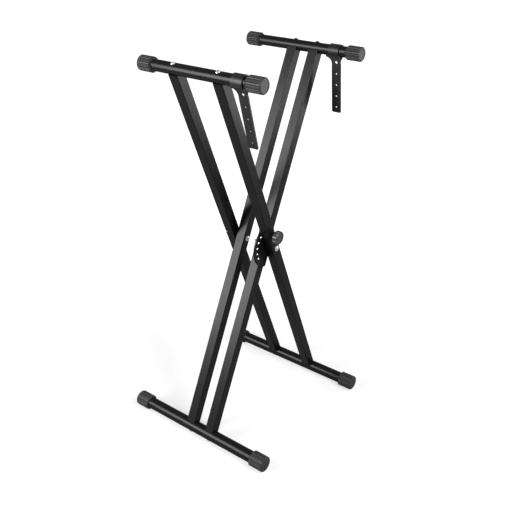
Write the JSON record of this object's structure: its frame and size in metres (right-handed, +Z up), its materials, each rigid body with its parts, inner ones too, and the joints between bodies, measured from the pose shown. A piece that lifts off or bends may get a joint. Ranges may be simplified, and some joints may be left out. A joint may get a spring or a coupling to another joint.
{
  "type": "folding keyboard stand",
  "caption": "Folding cross-legged floor stand: two pairs of square legs pivot on an index plate with a sprung lock knob, round arms and feet with rubber caps, and rubber straps.",
  "frame": {"origin": "on the floor, midway between the four feet's ends", "axes": "+Z up, +X from the foot of frame A to the foot of frame B, -Y towards the lock knob; arms and feet run along Y"},
  "size_m": [0.4486, 0.423, 0.9359],
  "materials": {
    "black_powder_coat": "satin black powder coat on steel tube and plate",
    "cap_rubber": "matte black moulded rubber",
    "strap_rubber": "matte black moulded rubber",
    "knob_plastic": "matte black moulded plastic",
    "zinc_steel": "bright zinc plated steel",
    "black_steel": "black oxide steel",
    "spring_steel": "plain spring wire",
    "nylon": "black nylon"
  },
  "bodies": {
    "frame_b": {"foot_tube_b": "black_powder_coat", "arm_tube_b": "black_powder_coat", "leg_b_front": "black_powder_coat", "foot_cap_b_front": "cap_rubber", "arm_cap_b_front": "cap_rubber", "leg_b_rear": "black_powder_coat", "foot_cap_b_rear": "cap_rubber", "arm_cap_b_rear": "cap_rubber", "leg_end_blocks_b": "zinc_steel", "foot_screws_b": "zinc_steel", "arm_screws_b": "zinc_steel", "pivot_bolt_front": "zinc_steel", "pivot_bolt_rear": "zinc_steel", "pivot_nut_front": "zinc_steel", "pivot_nut_rear": "zinc_steel", "pivot_washers": "zinc_steel", "lock_ferrule": "black_steel", "lock_guide": "nylon", "lock_spring": "spring_steel"},
    "frame_a": {"foot_tube_a": "black_powder_coat", "arm_tube_a": "black_powder_coat", "leg_a_front": "black_powder_coat", "foot_cap_a_front": "cap_rubber", "arm_cap_a_front": "cap_rubber", "leg_a_rear": "black_powder_coat", "foot_cap_a_rear": "cap_rubber", "arm_cap_a_rear": "cap_rubber", "leg_end_blocks_a": "zinc_steel", "foot_screws_a": "zinc_steel", "arm_screws_a": "black_steel", "index_plate": "black_powder_coat", "pivot_spacer": "nylon"},
    "lock_plunger": {"lock_pin": "zinc_steel", "lock_knob": "knob_plastic"},
    "strap_a": {"strap_a": "strap_rubber"},
    "strap_b": {"strap_b": "strap_rubber"}
  },
  "joints": [
    {"name": "fold", "type": "hinge", "parent": "frame_b", "child": "frame_a", "pos_m": [0, -0.003, 0.47947], "axis": [0, 1, 0], "range_deg": [-43.5, 95.5]},
    {"name": "lock_pull", "type": "slide", "parent": "frame_b", "child": "lock_plunger", "axis": [0, 1, 0], "range_m": [0, 0.0048], "stiffness_N_per_m": 500, "springref_m": 0.0148, "deforming": ["lock_spring"]},
    {"name": "strap_a_swing", "type": "hinge", "parent": "frame_a", "child": "strap_a", "pos_m": [0.19584, -0.0888, 0.91934], "axis": [0, -1, 0], "range_deg": [-45, 150]},
    {"name": "strap_b_swing", "type": "hinge", "parent": "frame_b", "child": "strap_b", "pos_m": [-0.19584, -0.1136, 0.91934], "axis": [0, -1, 0], "range_deg": [-150, 45]}
  ]
}
